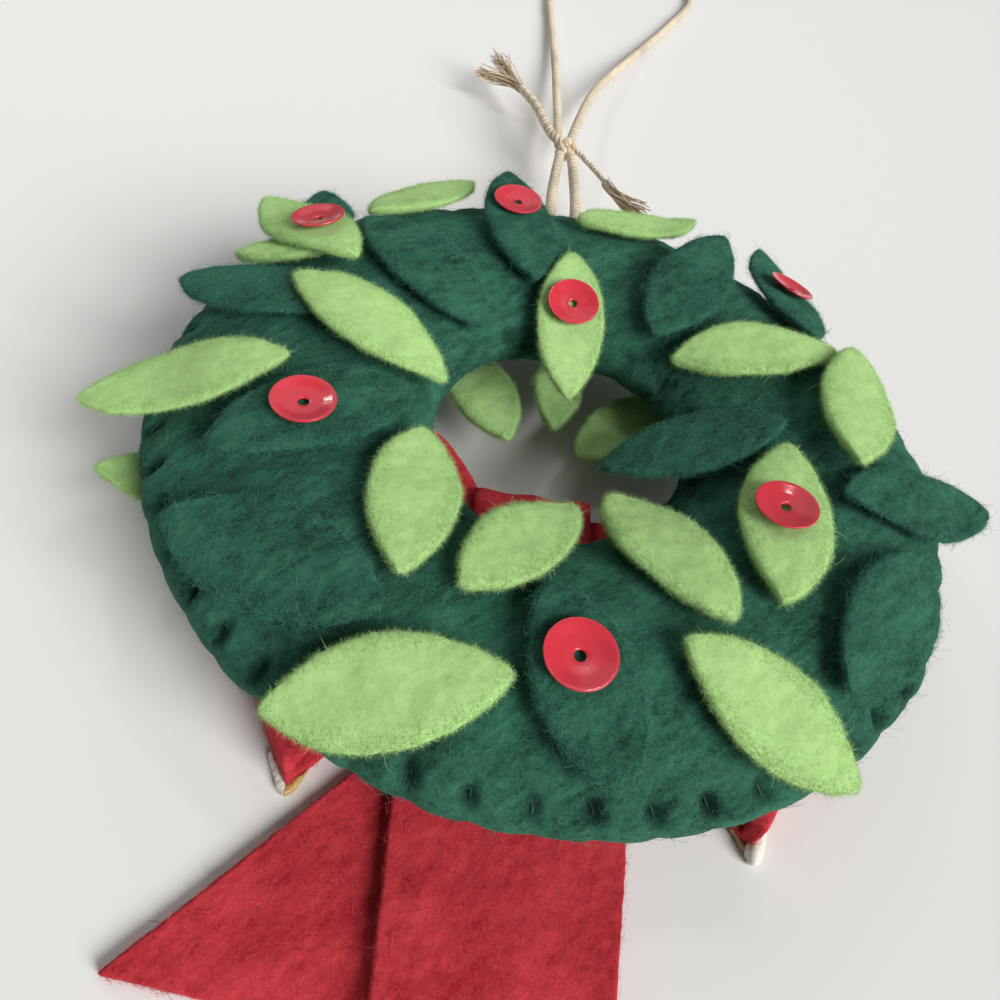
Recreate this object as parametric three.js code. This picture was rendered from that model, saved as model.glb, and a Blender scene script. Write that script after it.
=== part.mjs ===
// Stuffed felt wreath ornament with felt leaves, cup sequins, a felt bow and a twisted hanging cord.
// Millimetres, +Z up: the wreath lies on its bow with the leafy face up and the hanging cord towards +Y.
import * as THREE from "three";
import { mergeVertices } from "three/addons/utils/BufferGeometryUtils.js";

const DEG = Math.PI / 180;
const { lerp } = THREE.MathUtils;
const WELD_DISTANCE = 1e-4;

// Driving dimensions: felt and the gap kept between touching pieces
const FELT = 1.2;
const LEAF_FELT = 1.0;
const CLEARANCE = 0.3;

// Driving dimensions: stuffed ring
const RING_OUTER = 41.6;
const RING_INNER = 13.2;
const RING_CROWN = 6.8;
const SEAM_LIP = 2.2;
const CROWN_POWER = 0.55;
const RING_SEGMENTS = 44;
const RING_STEPS = 8;
const STUFFING_SIDES = 12;
const STUFFING_SEGMENTS = 32;

// Driving dimensions: overcast seam thread
const THREAD_DIAMETER = 0.5;
const STITCH_PITCH = 5.2;
const STITCH_RISE = 1.1;
const THREAD_SIDES = 4;
const THREAD_STEPS_PER_STITCH = 2;

// Driving dimensions: leaves
const LEAF_LENGTH = 18.6;
const LEAF_WIDTH = 8.8;
const LEAF_TIP_SHARE = 0.07;
const LEAF_STEPS = 8;
const LEAF_STRIPS = 3;
const LEAF_BEND_SHARE = 0.66;
const OUTLINE_STEPS = 8;

// Driving dimensions: cup sequins
const SEQUIN_DIAMETER = 6;
const SEQUIN_HOLE = 1;
const SEQUIN_DEPTH = 0.5;
const SEQUIN_SHEET = 0.25;
const SEQUIN_BOTTOM_SHARE = 0.25;
const SEQUIN_FACETS = 12;

// Driving dimensions: bow
const BOW_X = -1;
const KNOT_WIDTH = 10;
const KNOT_TOP = -3;
const KNOT_BOTTOM = -20;
const LOOP_FOLD_GAP = 0.3;
const LOOP_NECK_SHARE = 0.2;
const LOOP_STEPS = 10;
const LOOP_STRIPS = 4;
const TRIM_TAPER = 0.45;
const TRIM_GAP = 0.1;
const TRIM_SIDES = 6;
const TRIM_STEPS = 6;
const EDGE_REACH = 0.2;
const EDGE_STEP = 0.01;
const TAIL_NECK = 4;
const TAIL_NECK_STEPS = 8;

// Driving dimensions: hanging cord
const CORD_DIAMETER = 1.8;
const CORD_SIDES = 8;
const LEG_SPREAD = 3.6;
const LEG_CENTRE = 0.6;

// Heights: the knot stands on the table, and the ring lies on top of the bow
const LOOP_PINCH = 2 * FELT + LOOP_FOLD_GAP;
const KNOT_HEIGHT = 2 * FELT + 2 * CLEARANCE + LOOP_PINCH;
const LOOP_HEIGHT = KNOT_HEIGHT - CLEARANCE;
const SEAM_Z = KNOT_HEIGHT + CLEARANCE + RING_CROWN;
const HALF_GAP = CLEARANCE / 2;
const RING_MIDDLE = (RING_OUTER + RING_INNER) / 2;
const RING_HALF_WIDTH = (RING_OUTER - RING_INNER) / 2;
const FACE_RISE = RING_CROWN - FELT - HALF_GAP;
const HANGER_GAP = LEG_SPREAD + 2 * (LEG_CENTRE + CORD_DIAMETER + CLEARANCE);

const COLOURS = {
  darkFelt: 0x2b6049,
  lightFelt: 0xa9d483,
  redFelt: 0xb02a32,
  sequin: 0xd2404e,
  cord: 0xc9b893,
  thread: 0x21503c,
  stuffing: 0xe9e6df,
  white: 0xf0ece4,
  gold: 0xc2a25c,
};

function finish(color, roughness, metalness) {
  return new THREE.MeshStandardMaterial({ color, roughness, metalness });
}

const feltFinish = (colour) => finish(colour, 0.95, 0);
const sequinFinish = finish(COLOURS.sequin, 0.25, 0.1);
const cordFinish = finish(COLOURS.cord, 0.5, 0.2);
const goldFinish = finish(COLOURS.gold, 0.45, 0.4);

const ornament = new THREE.Group();
const hangingCord = new THREE.Group();

// Adds one named piece made of a closed surface
function addPiece(name, geometry, material, parent = ornament) {
  const mesh = new THREE.Mesh(welded(geometry), material);
  mesh.name = name;
  parent.add(mesh);
  return mesh;
}

// Joins the vertices that neighbouring faces share
function welded(geometry) {
  const bare = geometry.clone();
  bare.deleteAttribute("normal");
  bare.deleteAttribute("uv");
  const merged = mergeVertices(bare, WELD_DISTANCE);
  merged.computeVertexNormals();
  return merged;
}

// Turns a closed outline of [radius, height] points about the Z axis
function turned(outline, segments) {
  const points = [...outline, outline[0]].map((point) => new THREE.Vector2(...point));
  return new THREE.LatheGeometry(points, segments).rotateX(Math.PI / 2);
}

// Round cord or thread along a list of points
function tube(points, diameter, sides, steps) {
  const section = new THREE.Shape();
  for (let side = 0; side < sides; side += 1) {
    const angle = (2 * Math.PI * side) / sides;
    const x = (diameter / 2) * Math.cos(angle);
    const y = (diameter / 2) * Math.sin(angle);
    if (side === 0) section.moveTo(x, y);
    else section.lineTo(x, y);
  }
  const path = new THREE.CatmullRomCurve3(points.map((point) => new THREE.Vector3(...point)));
  return new THREE.ExtrudeGeometry(section, { steps, extrudePath: path, bevelEnabled: false });
}

// Share of the crown's height at a distance from the ring's middle line, in half widths
function crownShare(offset) {
  return Math.pow(Math.max(0, 1 - offset * offset), CROWN_POWER);
}

// Height of a glued leaf's underside above the seam plane: it follows the crown, then runs straight on
function leafSeat(radius, bend = LEAF_BEND_SHARE) {
  const offset = Math.abs(radius - RING_MIDDLE) / RING_HALF_WIDTH;
  const slope = -2 * bend * CROWN_POWER * Math.pow(1 - bend * bend, CROWN_POWER - 1);
  const share = offset <= bend ? crownShare(offset) : crownShare(bend) + slope * (offset - bend);
  return HALF_GAP + FELT + FACE_RISE * share + CLEARANCE;
}

// Felt half shell with a flat seam lip at both edges, crowned upwards from the seam plane
function ringShellOutline() {
  const outer = [];
  const inner = [];
  const liningHalfWidth = RING_HALF_WIDTH - SEAM_LIP;
  for (let step = 0; step <= RING_STEPS; step += 1) {
    const offset = Math.cos((Math.PI * step) / RING_STEPS);
    outer.push([RING_MIDDLE + RING_HALF_WIDTH * offset, HALF_GAP + FELT + FACE_RISE * crownShare(offset)]);
    inner.push([RING_MIDDLE - liningHalfWidth * offset, HALF_GAP + FACE_RISE * crownShare(offset)]);
  }
  return [[RING_OUTER, HALF_GAP], ...outer, [RING_INNER, HALF_GAP], ...inner];
}

// Stuffing: fills both shells with a clearance all round
function stuffingOutline() {
  const points = [];
  const halfWidth = RING_HALF_WIDTH - SEAM_LIP - 2 * CLEARANCE;
  const halfHeight = FACE_RISE - CLEARANCE;
  for (let side = 0; side < STUFFING_SIDES; side += 1) {
    const angle = (2 * Math.PI * side) / STUFFING_SIDES;
    points.push([RING_MIDDLE + halfWidth * Math.cos(angle), halfHeight * Math.sin(angle)]);
  }
  return points;
}

function addRing() {
  const felt = feltFinish(COLOURS.darkFelt);
  const filling = feltFinish(COLOURS.stuffing);
  const back = addPiece("back_ring", turned(ringShellOutline(), RING_SEGMENTS), felt);
  back.position.z = SEAM_Z;
  const front = addPiece("front_ring", turned(ringShellOutline(), RING_SEGMENTS), felt);
  front.position.z = SEAM_Z;
  front.rotation.x = Math.PI;
  const stuffing = addPiece("stuffing", turned(stuffingOutline(), STUFFING_SEGMENTS), filling);
  stuffing.position.z = SEAM_Z;
}

// Overcast stitches: one thread that zigzags over a seam's edge, with a gap centred on +Y
function seamThread(radius, gapLength) {
  const gapAngle = gapLength / radius;
  const sweep = 2 * Math.PI - gapAngle;
  const stitches = Math.round((sweep * radius) / STITCH_PITCH);
  const points = [];
  for (let half = 0; half <= 2 * stitches; half += 1) {
    const angle = Math.PI / 2 + gapAngle / 2 + (sweep * half) / (2 * stitches);
    const height = (half % 2 === 0 ? -1 : 1) * STITCH_RISE;
    points.push([radius * Math.cos(angle), radius * Math.sin(angle), height]);
  }
  return tube(points, THREAD_DIAMETER, THREAD_SIDES, THREAD_STEPS_PER_STITCH * stitches);
}

function addSeamThreads() {
  const thread = feltFinish(COLOURS.thread);
  const standOff = CLEARANCE + THREAD_DIAMETER / 2;
  const outer = addPiece("outer_seam_thread", seamThread(RING_OUTER + standOff, HANGER_GAP), thread);
  outer.position.z = SEAM_Z;
  const inner = addPiece("inner_seam_thread", seamThread(RING_INNER - standOff, STITCH_PITCH), thread);
  inner.position.z = SEAM_Z;
}

// Leaves in the order they are glued, by how far out from the ring's middle line their middle lies, their
// direction from the wreath's axis and their turn from the radial direction. rise bends the outer tip up,
// bend is the share of the half width that a leaf follows before it runs straight on, and length and width
// are given where a leaf differs from the usual cut.
const BACK_LEAVES = {
  dark_leaf_1: { out: 7.5, azimuth: 166, turn: 1, rise: 1 },
  dark_leaf_2: { out: -1.4, azimuth: -161, turn: 16, length: 21, width: 10 },
  dark_leaf_3: { out: -3, azimuth: 135, turn: 3, length: 21, width: 9.6 },
  dark_leaf_4: { out: 1.6, azimuth: 103, turn: 0, rise: 3, length: 20 },
  dark_leaf_5: { out: -1.4, azimuth: 56, turn: 5, rise: 3, length: 20, width: 9.6 },
  dark_leaf_6: { out: 10.6, azimuth: 42, turn: 57, rise: 2, length: 20 },
  dark_leaf_7: { out: -14, azimuth: -12, turn: 28, length: 20 },
  dark_leaf_8: { out: 9.6, azimuth: -12, turn: 23, rise: 1, length: 20 },
  dark_leaf_9: { out: 9.1, azimuth: -38, turn: -89, length: 19.5 },
  dark_leaf_10: { out: 5.2, azimuth: -89.5, turn: 21, length: 17, width: 9 },
  dark_leaf_11: { out: 8.1, azimuth: -136, turn: -66, length: 20.5, width: 9.6 },
  dark_leaf_12: { out: 12.6, azimuth: 139, turn: -36, rise: 1, length: 15, width: 7 },
  light_leaf_1: { out: 10.6, azimuth: -172, turn: 11, rise: 1.5, length: 20 },
  light_leaf_2: { out: -5.4, azimuth: 169, turn: -18, length: 20 },
  light_leaf_3: { out: 9.8, azimuth: 153.5, turn: 28.5, length: 10.4, width: 5.4 },
  light_leaf_4: { out: 9.6, azimuth: 147, turn: -12, rise: 1.5 },
  light_leaf_5: { out: 11.6, azimuth: 119, turn: -69, rise: 0.5 },
  light_leaf_6: { out: 9.1, azimuth: 75, turn: -51, rise: 2 },
  light_leaf_7: { out: -13.4, azimuth: 89, turn: 3, length: 20, width: 8.4 },
  light_leaf_8: { out: -3, azimuth: 28, turn: -17, length: 20.5 },
  light_leaf_9: { out: 3.6, azimuth: 6, turn: 71, length: 20 },
  light_leaf_10: { out: -3.4, azimuth: -34, turn: -68, length: 20.5, width: 9.2 },
  light_leaf_11: { out: -7.4, azimuth: -66, turn: 8, length: 18 },
  light_leaf_12: { out: -5.4, azimuth: -132, turn: 41, width: 8.6 },
  light_leaf_13: { out: -7, azimuth: -104, turn: -25, length: 16.5, width: 8 },
  light_leaf_14: { out: 10.4, azimuth: -113, turn: -56, length: 18.8 },
  light_leaf_15: { out: 9.1, azimuth: -64.5, turn: 32, length: 18 },
};

const FRONT_LEAVES = {
  front_leaf_1: { out: 10.6, azimuth: -166, turn: 0 },
  front_leaf_2: { out: -12.6, azimuth: 124, turn: 14, bend: 0.3, length: 19.8, width: 8.4 },
  front_leaf_3: { out: -12, azimuth: 85, turn: 1, bend: 0.3, width: 6.4 },
  front_leaf_4: { out: -13.2, azimuth: 44, turn: -3, bend: 0.3, length: 21, width: 8.4 },
};

const leafLength = (leaf) => leaf.length ?? LEAF_LENGTH;
const leafWidth = (leaf) => leaf.width ?? LEAF_WIDTH;
const leafRadius = (leaf) => RING_MIDDLE + leaf.out;

// Share of a leaf's width at a place along it, from -1 at one tip to 1 at the other
function leafWidthShare(place) {
  return LEAF_TIP_SHARE + (1 - LEAF_TIP_SHARE) * (1 - place * place);
}

// Whether one leaf lies over another, told by points on its outline seen from above
function leafCovers(upper, lower) {
  const axis = new THREE.Vector2();
  const heading = (lower.azimuth + lower.turn) * DEG;
  const middle = new THREE.Vector2(leafRadius(lower), 0).rotateAround(axis, lower.azimuth * DEG);
  for (let step = -OUTLINE_STEPS; step <= OUTLINE_STEPS; step += 1) {
    for (const side of [-1, 0, 1]) {
      const place = step / OUTLINE_STEPS;
      const across = (side * leafWidth(upper) * leafWidthShare(place)) / 2;
      const [x, y] = leafPoint(upper, (place * leafLength(upper)) / 2, across);
      const point = new THREE.Vector2(x, y).rotateAround(axis, upper.azimuth * DEG);
      const local = point.sub(middle).rotateAround(axis, -heading);
      const lowerPlace = Math.abs(local.x) / (leafLength(lower) / 2 + CLEARANCE);
      const reach = (leafWidth(lower) / 2) * leafWidthShare(lowerPlace) + CLEARANCE;
      if (lowerPlace <= 1 && Math.abs(local.y) < reach) return true;
    }
  }
  return false;
}

// Gives each leaf its layer: one above the highest earlier leaf that touches it
function stackLeaves(leaves) {
  const glued = [];
  for (const leaf of Object.values(leaves)) {
    leaf.layer = 0;
    for (const earlier of glued) {
      const touches = leafCovers(leaf, earlier) || leafCovers(earlier, leaf);
      if (touches) leaf.layer = Math.max(leaf.layer, earlier.layer + 1);
    }
    glued.push(leaf);
  }
}

// Underside of a leaf at a place given in its own radial frame
function leafHeight(leaf, x, y) {
  const along = (x - leafRadius(leaf)) * Math.cos(leaf.turn * DEG) + y * Math.sin(leaf.turn * DEG);
  const outward = Math.max(0, along / (leafLength(leaf) / 2));
  const lift = (leaf.layer ?? 0) * (LEAF_FELT + CLEARANCE);
  return leafSeat(Math.hypot(x, y), leaf.bend) + lift + (leaf.rise ?? 0) * outward * outward;
}

// Place of a point of the flat leaf, stepped along the crown so that the felt keeps its length
function leafPoint(leaf, along, across) {
  const direction = [Math.cos(leaf.turn * DEG), Math.sin(leaf.turn * DEG)];
  const stride = along / LEAF_STEPS;
  let x = leafRadius(leaf);
  let y = 0;
  for (let step = 0; step < LEAF_STEPS; step += 1) {
    const ahead = leafHeight(leaf, x + direction[0] * stride, y + direction[1] * stride);
    const climb = stride === 0 ? 0 : (ahead - leafHeight(leaf, x, y)) / stride;
    const reach = stride / Math.hypot(1, climb);
    x += direction[0] * reach;
    y += direction[1] * reach;
  }
  return [x - direction[1] * across, y + direction[0] * across];
}

// Pointed oval of felt that lies on the crown, in its own radial frame
function leafGeometry(leaf) {
  const geometry = new THREE.BoxGeometry(1, 1, 1, LEAF_STEPS, LEAF_STRIPS, 1);
  const position = geometry.getAttribute("position");
  for (let index = 0; index < position.count; index += 1) {
    const place = 2 * position.getX(index);
    const across = position.getY(index) * leafWidth(leaf) * leafWidthShare(place);
    const [x, y] = leafPoint(leaf, (place * leafLength(leaf)) / 2, across);
    const height = leafHeight(leaf, x, y) + LEAF_FELT * (position.getZ(index) + 0.5);
    position.setXYZ(index, x, y, height);
  }
  return geometry;
}

function addLeaves() {
  const light = feltFinish(COLOURS.lightFelt);
  const dark = feltFinish(COLOURS.darkFelt);
  stackLeaves(BACK_LEAVES);
  stackLeaves(FRONT_LEAVES);
  for (const [name, leaf] of Object.entries(BACK_LEAVES)) {
    const mesh = addPiece(name, leafGeometry(leaf), name.startsWith("light") ? light : dark);
    mesh.position.z = SEAM_Z;
    mesh.rotation.z = leaf.azimuth * DEG;
  }
  for (const [name, leaf] of Object.entries(FRONT_LEAVES)) {
    const mesh = addPiece(name, leafGeometry(leaf), light);
    mesh.position.z = SEAM_Z;
    mesh.rotation.set(Math.PI, 0, leaf.azimuth * DEG, "ZYX");
  }
}

// Sequins by the leaf that carries them and their place from its middle, along and across it
const SEQUINS = {
  sequin_1: { leaf: "light_leaf_4", along: -2, across: -0.5 },
  sequin_2: { leaf: "dark_leaf_4", along: 3, across: 0 },
  sequin_3: { leaf: "light_leaf_7", along: 2, across: 0 },
  sequin_4: { leaf: "dark_leaf_6", along: 0, across: 0 },
  sequin_5: { leaf: "dark_leaf_2", along: 1.4, across: 0 },
  sequin_6: { leaf: "light_leaf_10", along: 0, across: -0.3 },
  sequin_7: { leaf: "dark_leaf_10", along: -1.6, across: -0.3 },
};

// Faceted cup with a hole, standing on its rounded bottom
function sequinGeometry() {
  const holeRadius = SEQUIN_HOLE / 2;
  const rimRadius = SEQUIN_DIAMETER / 2;
  const bottomRadius = (holeRadius + rimRadius) / 2;
  const bottomRise = SEQUIN_DEPTH * SEQUIN_BOTTOM_SHARE;
  const outline = [
    [holeRadius, 0],
    [bottomRadius, bottomRise],
    [rimRadius, SEQUIN_DEPTH],
    [rimRadius, SEQUIN_DEPTH + SEQUIN_SHEET],
    [bottomRadius, bottomRise + SEQUIN_SHEET],
    [holeRadius, SEQUIN_SHEET],
  ];
  return turned(outline, SEQUIN_FACETS);
}

function addSequins() {
  for (const [name, sequin] of Object.entries(SEQUINS)) {
    const leaf = BACK_LEAVES[sequin.leaf];
    const [x, y] = leafPoint(leaf, sequin.along, sequin.across);
    const height = leafHeight(leaf, x, y);
    const step = SEQUIN_DIAMETER / 4;
    const slopeX = (leafHeight(leaf, x + step, y) - leafHeight(leaf, x - step, y)) / (2 * step);
    const slopeY = (leafHeight(leaf, x, y + step) - leafHeight(leaf, x, y - step)) / (2 * step);
    const normal = new THREE.Vector3(-slopeX, -slopeY, 1).normalize();
    const holder = new THREE.Group();
    holder.position.z = SEAM_Z;
    holder.rotation.z = leaf.azimuth * DEG;
    ornament.add(holder);
    const mesh = addPiece(name, sequinGeometry(), sequinFinish, holder);
    mesh.quaternion.setFromUnitVectors(new THREE.Vector3(0, 0, 1), normal);
    mesh.position.set(x, y, height).addScaledVector(normal, LEAF_FELT + CLEARANCE);
  }
}

// Bow loops by the corners of their flat outline, how far their hanger edge and their fold swell, and the trims round
// their tail corner: white up the fold, gold along the tail edge
const LOOPS = {
  left: {
    sign: -1, outerLow: [-22.3, -36.4], outerHigh: [-27, -10], bulge: 13.5, belly: 4,
    white: { length: 4.2, width: 1 }, gold: { length: 3, width: 1.1 },
  },
  right: {
    sign: 1, outerLow: [20.6, -37.6], outerHigh: [26, -10], bulge: 2, belly: 4,
    white: { length: 2.9, width: 1.5 }, gold: { length: 2.9, width: 1 },
  },
};

// Flat place on a loop: along runs from the knot to the fold, across from the tail side to the hanger side
function loopPlace(loop, along, across) {
  const innerX = BOW_X + loop.sign * CLEARANCE;
  const neckX = BOW_X + loop.sign * (KNOT_WIDTH / 2 + CLEARANCE);
  const neckLow = KNOT_BOTTOM + FELT + CLEARANCE;
  const neckHigh = KNOT_TOP - FELT - CLEARANCE;
  const inKnot = Math.min(1, along / LOOP_NECK_SHARE);
  const flare = Math.max(0, (along - LOOP_NECK_SHARE) / (1 - LOOP_NECK_SHARE));
  const rootX = lerp(innerX, neckX, inKnot);
  const lowX = lerp(rootX, loop.outerLow[0], flare);
  const highX = lerp(rootX, loop.outerHigh[0], flare);
  const lowY = lerp(neckLow, loop.outerLow[1], flare);
  const highY = lerp(neckHigh, loop.outerHigh[1], flare);
  const swell = loop.sign * loop.belly * flare * Math.sin(Math.PI * across);
  const bulge = loop.bulge * Math.sin(Math.PI * flare) * across;
  return [lerp(lowX, highX, across) + swell, lerp(lowY, highY, across) + bulge];
}

// Lowest and highest face of a loop: pinched flat in the knot, open beyond it
function loopHeights(along) {
  const neckLow = FELT + CLEARANCE;
  const opening = Math.min(1, Math.max(0, (along - LOOP_NECK_SHARE) / LOOP_NECK_SHARE));
  return [lerp(neckLow, 0, opening), lerp(neckLow + LOOP_PINCH, LOOP_HEIGHT, opening)];
}

// One strip of felt from the knot to the fold and back, open at both edges
function loopGeometry(loop) {
  const stations = 2 * LOOP_STEPS + 1;
  const geometry = new THREE.BoxGeometry(1, 1, 1, stations, LOOP_STRIPS, 1);
  const position = geometry.getAttribute("position");
  const fold = new THREE.Vector2(...loopPlace(loop, 1, 0.5));
  const foldShare = FELT / fold.distanceTo(new THREE.Vector2(...loopPlace(loop, 0, 0.5)));
  for (let index = 0; index < position.count; index += 1) {
    const station = Math.round((position.getX(index) + 0.5) * stations);
    const across = 0.5 + loop.sign * position.getY(index);
    const onLowerLayer = station <= LOOP_STEPS;
    const outside = position.getZ(index) < 0;
    const reach = (onLowerLayer ? station : stations - station) / LOOP_STEPS;
    const along = outside ? reach : Math.min(reach, 1 - foldShare);
    const [low, high] = loopHeights(along);
    const sheet = outside ? 0 : FELT;
    const [x, y] = loopPlace(loop, along, across);
    position.setXYZ(index, x, y, onLowerLayer ? low + sheet : high - sheet);
  }
  return geometry;
}

// Place on a loop's edge at a distance from its tail corner, and the way out of the loop there: up the fold for
// way -1, along the tail edge for way 1
function loopEdge(loop, way, distance) {
  const at = (share) => new THREE.Vector2(...(way < 0 ? loopPlace(loop, 1, share) : loopPlace(loop, 1 - share, 0)));
  const share = (EDGE_REACH * distance) / at(0).distanceTo(at(EDGE_REACH));
  const edge = at(share);
  const run = at(share + EDGE_STEP).sub(edge).normalize();
  const out = new THREE.Vector2(run.y, -run.x).multiplyScalar(-way * loop.sign);
  return { edge, out };
}

// Piping on the table beside a loop's edge, from halfway round the tail corner, tapering to its far end
function trimGeometry(loop, way, { length, width }) {
  const geometry = new THREE.CylinderGeometry((TRIM_TAPER * width) / 2, width / 2, length, TRIM_SIDES, TRIM_STEPS);
  const position = geometry.getAttribute("position");
  const corner = loopEdge(loop, way, 0);
  const middle = corner.out.clone().add(loopEdge(loop, -way, 0).out).normalize();
  const turn = middle.angleTo(corner.out) * (CLEARANCE + width / 2);
  for (let index = 0; index < position.count; index += 1) {
    const share = 0.5 + position.getY(index) / length;
    const distance = TRIM_GAP / 2 + share * length;
    const { edge, out } = loopEdge(loop, way, Math.max(0, distance - turn));
    if (distance < turn) out.lerpVectors(middle, corner.out, distance / turn).normalize();
    const reach = CLEARANCE + lerp(width, TRIM_TAPER * width, share) / 2 + position.getX(index);
    const height = width / 2 - way * loop.sign * position.getZ(index);
    position.setXYZ(index, edge.x + out.x * reach, edge.y + out.y * reach, height);
  }
  return geometry;
}

// White and gold piping round the lower corner of a loop
function addTrims(side, loop) {
  addPiece(`bow_${side}_white_trim`, trimGeometry(loop, -1, loop.white), feltFinish(COLOURS.white));
  addPiece(`bow_${side}_gold_trim`, trimGeometry(loop, 1, loop.gold), goldFinish);
}

// Band of felt round the loops' waist
function knotGeometry() {
  const band = new THREE.Shape();
  band.moveTo(KNOT_BOTTOM, 0);
  band.lineTo(KNOT_TOP, 0);
  band.lineTo(KNOT_TOP, KNOT_HEIGHT);
  band.lineTo(KNOT_BOTTOM, KNOT_HEIGHT);
  const opening = new THREE.Path();
  opening.moveTo(KNOT_BOTTOM + FELT, FELT);
  opening.lineTo(KNOT_BOTTOM + FELT, KNOT_HEIGHT - FELT);
  opening.lineTo(KNOT_TOP - FELT, KNOT_HEIGHT - FELT);
  opening.lineTo(KNOT_TOP - FELT, FELT);
  band.holes.push(opening);
  const geometry = new THREE.ExtrudeGeometry(band, { depth: KNOT_WIDTH, bevelEnabled: false });
  const standing = new THREE.Matrix4().makeBasis(
    new THREE.Vector3(0, 1, 0),
    new THREE.Vector3(0, 0, 1),
    new THREE.Vector3(1, 0, 0),
  );
  return geometry.applyMatrix4(standing).translate(BOW_X - KNOT_WIDTH / 2, 0, 0);
}

// Bow tails from their neck below the knot: the outline's corners run from the left side to the right
const TAILS = {
  left: { corners: [[-33, -51.6], [-12, -54.5]], layer: 0 },
  right: { corners: [[-13, -35], [-12.6, -59], [5.8, -57], [8.7, -35]], layer: 1 },
};
const TAIL_PIVOT = [BOW_X, KNOT_BOTTOM - CLEARANCE - TAIL_NECK];

// Flat strip of felt with a round neck about its pivot
function tailGeometry(corners) {
  const first = corners[0];
  const last = corners[corners.length - 1];
  const middle = [(first[0] + last[0]) / 2, (first[1] + last[1]) / 2];
  const heading = Math.atan2(middle[1] - TAIL_PIVOT[1], middle[0] - TAIL_PIVOT[0]);
  const outline = new THREE.Shape();
  outline.absarc(...TAIL_PIVOT, TAIL_NECK, heading + Math.PI / 2, heading + (3 * Math.PI) / 2, false);
  for (const corner of corners) outline.lineTo(...corner);
  const settings = { depth: FELT, bevelEnabled: false, curveSegments: TAIL_NECK_STEPS };
  return new THREE.ExtrudeGeometry(outline, settings);
}

function addBow() {
  const felt = feltFinish(COLOURS.redFelt);
  for (const [side, loop] of Object.entries(LOOPS)) {
    addPiece(`bow_${side}_loop`, loopGeometry(loop), felt);
    addTrims(side, loop);
  }
  addPiece("bow_knot", knotGeometry(), felt);
  for (const [side, tail] of Object.entries(TAILS)) {
    const mesh = addPiece(`bow_${side}_tail`, tailGeometry(tail.corners), felt);
    mesh.position.z = tail.layer * (FELT + CLEARANCE);
  }
}

// Hanging cord: two legs out of the seam, a knot, one loop and two cut ends
const LEG_START_Y = RING_OUTER + 2 * CLEARANCE;
const KNOT_PLACE = [2.6, 75.5, 7.6];
const KNOT_HALF = [2.3, 3.7, 2];
const CORD_KNOT_SIDES = 10;
const CORD_KNOT_RINGS = 6;
const CORD_RUNS = {
  hanger_leg_left: {
    steps: 8,
    points: [
      [LEG_CENTRE - LEG_SPREAD / 2, LEG_START_Y, SEAM_Z], [-0.6, 51, 10.8], [0.3, 61, 8.9], [1.5, 71.6, 7.9],
    ],
  },
  hanger_leg_right: {
    steps: 8,
    points: [
      [LEG_CENTRE + LEG_SPREAD / 2, LEG_START_Y, SEAM_Z], [3.2, 51, 10.8], [3.7, 61, 8.9], [3.65, 71.5, 7.9],
    ],
  },
  hanger_loop: {
    steps: 56,
    points: [
      [1.55, 79.45, 7.1], [2, 100, 4.5], [2.2, 125, 2.1], [1.6, 150, 1.1], [1.3, 168, 1],
      [4, 186, 1], [12, 199, 1], [24, 204, 1], [36, 200, 1], [40.7, 188, 1],
      [33, 166, 1], [23, 143, 1.5], [13, 118, 3.5], [8.4, 103, 5], [3.7, 79.45, 7.1],
    ],
  },
  hanger_end_long: {
    steps: 7,
    points: [[0, 78, 8.6], [-2.9, 90, 7.8], [-5.8, 100.3, 6], [-12, 110, 4.5]],
  },
  hanger_end_short: {
    steps: 5,
    points: [[5.2, 73.2, 8.2], [8.4, 64, 9.4], [10.5, 57.5, 10.5], [12.8, 50.5, 11.5]],
  },
};

function addHanger() {
  for (const [name, run] of Object.entries(CORD_RUNS)) {
    addPiece(name, tube(run.points, CORD_DIAMETER, CORD_SIDES, run.steps), cordFinish, hangingCord);
  }
  const ball = new THREE.SphereGeometry(1, CORD_KNOT_SIDES, CORD_KNOT_RINGS);
  const knot = addPiece("hanger_knot", ball.scale(...KNOT_HALF), cordFinish, hangingCord);
  knot.position.set(...KNOT_PLACE);
}

addRing();
addSeamThreads();
addLeaves();
addSequins();
addBow();
addHanger();

// The origin lies under the middle of the wreath and its bow, on the table
const assembly = new THREE.Group();
assembly.add(ornament, hangingCord);
const extent = new THREE.Box3().setFromObject(ornament);
const centre = extent.getCenter(new THREE.Vector3());
assembly.position.set(-centre.x, -centre.y, -extent.min.z);

export default assembly;
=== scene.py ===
"""Looks of a stuffed felt wreath ornament: its felt, leaves, sequins, bow and hanging cord."""

import math
import random
from itertools import combinations

import bmesh
import bpy
from bpy.props import FloatProperty, FloatVectorProperty, IntProperty, PointerProperty
from mathutils import Matrix, Quaternion, Vector, noise
from mathutils.bvhtree import BVHTree
from mathutils.geometry import interpolate_bezier


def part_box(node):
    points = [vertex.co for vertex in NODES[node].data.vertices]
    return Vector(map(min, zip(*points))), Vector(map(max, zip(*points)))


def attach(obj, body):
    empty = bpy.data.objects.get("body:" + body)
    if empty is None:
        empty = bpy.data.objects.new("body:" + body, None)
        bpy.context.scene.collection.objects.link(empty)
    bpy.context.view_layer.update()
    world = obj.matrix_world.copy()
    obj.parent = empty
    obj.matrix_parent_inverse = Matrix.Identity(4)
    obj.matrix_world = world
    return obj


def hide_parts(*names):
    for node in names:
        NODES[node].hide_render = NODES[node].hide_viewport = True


bl_info = {
    "name": "Felt Wreath Ornament",
    "version": (1, 0, 0),
    "blender": (4, 5, 0),
    "location": "View3D > Sidebar > Wreath",
    "description": "Builds a stuffed felt wreath with leaves, sequins, a bow and a hanging cord",
    "category": "Object",
}

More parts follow.
